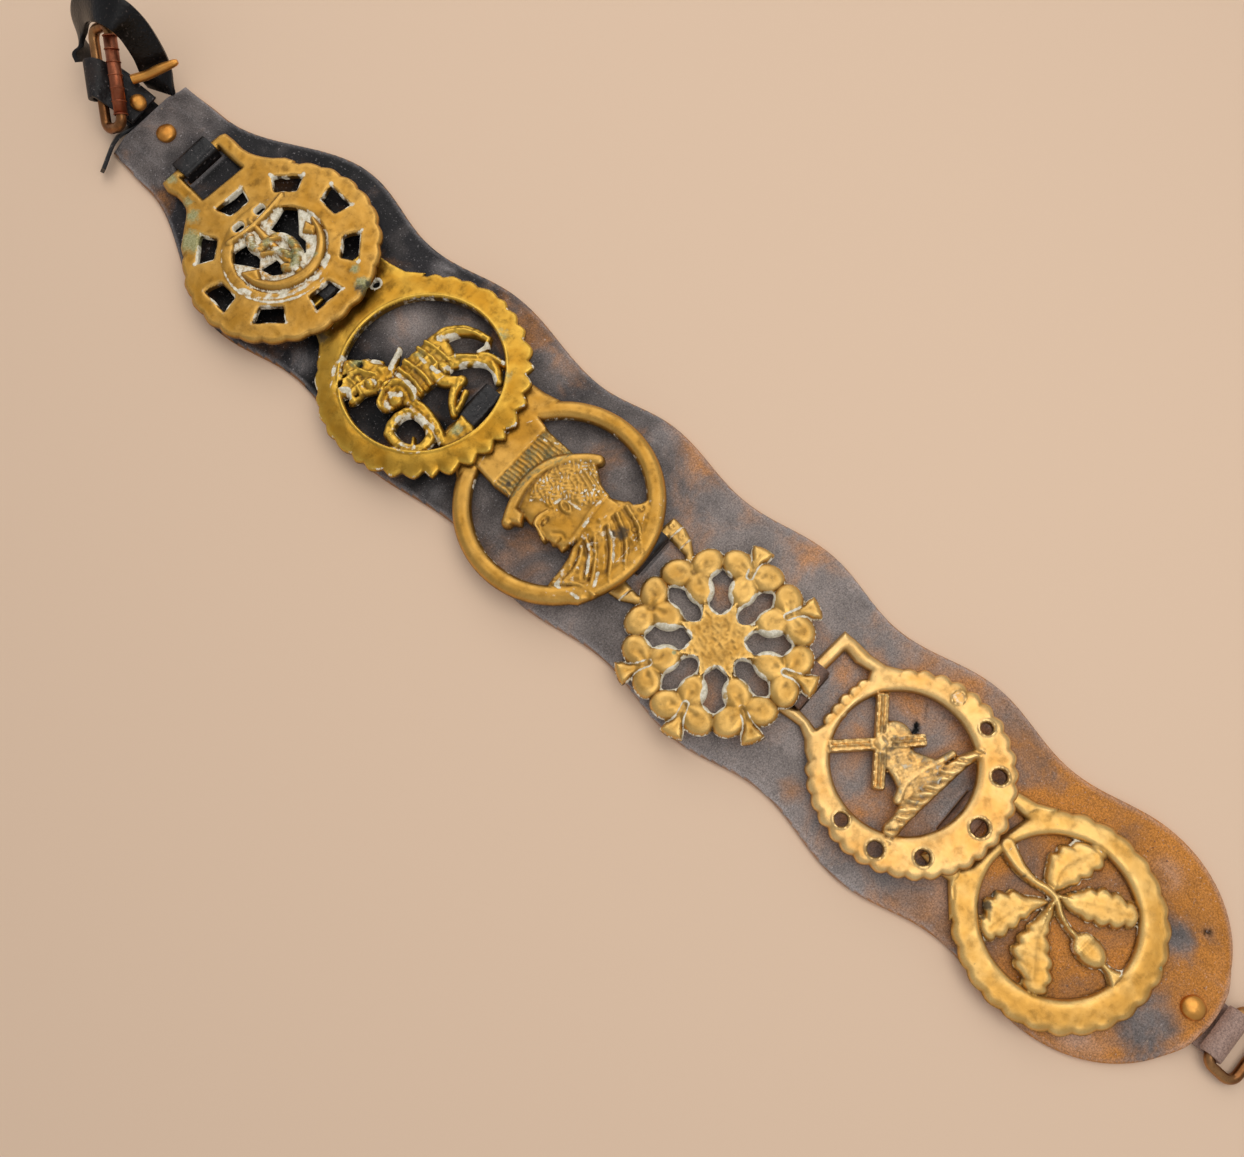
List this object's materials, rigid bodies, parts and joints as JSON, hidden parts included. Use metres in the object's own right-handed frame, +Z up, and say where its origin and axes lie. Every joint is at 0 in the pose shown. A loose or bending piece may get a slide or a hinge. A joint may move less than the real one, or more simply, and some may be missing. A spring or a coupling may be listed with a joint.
{
  "type": "horse brass strap",
  "caption": "Leather harness strap hung with cast horse brasses, with a wavy edge, a narrow strap woven over their hangers, rivets, a buckle, a leather loop and a link.",
  "frame": {"origin": "on the surface the strap lies on, midway along the wide leather between its two rivets", "axes": "+Y along the strap to the buckle, +X to the right seen from the faces of the brasses, +Z up out of their faces"},
  "size_m": [0.0903, 0.5708, 0.0385],
  "materials": {
    "wide_leather": "worn, black to brown, scuffed",
    "strap_leather": "black, polished by wear, grey cut edges",
    "ochre_brass": "cast, worn, residue in the recesses",
    "olive_brass": "cast, dark toned, residue in the recesses",
    "pale_brass": "cast, pale and bright",
    "rivet_copper": "copper, dulled",
    "buckle_brass": "drawn wire, dulled brown",
    "roller_copper": "ribbed, reddish brown"
  },
  "bodies": {
    "root": {"hide_wide": "wide_leather", "strap_woven": "strap_leather", "brass_anchor": "ochre_brass", "brass_horse": "olive_brass", "brass_hat": "ochre_brass", "brass_shamrock": "ochre_brass", "brass_mill": "pale_brass", "brass_oak": "pale_brass", "rivet_north": "rivet_copper", "rivet_south": "rivet_copper", "rivet_chape": "buckle_brass", "buckle_frame": "buckle_brass", "buckle_roller": "roller_copper", "buckle_tongue": "buckle_brass", "loop_leather": "strap_leather", "link_ring": "buckle_brass"}
  },
  "joints": []
}
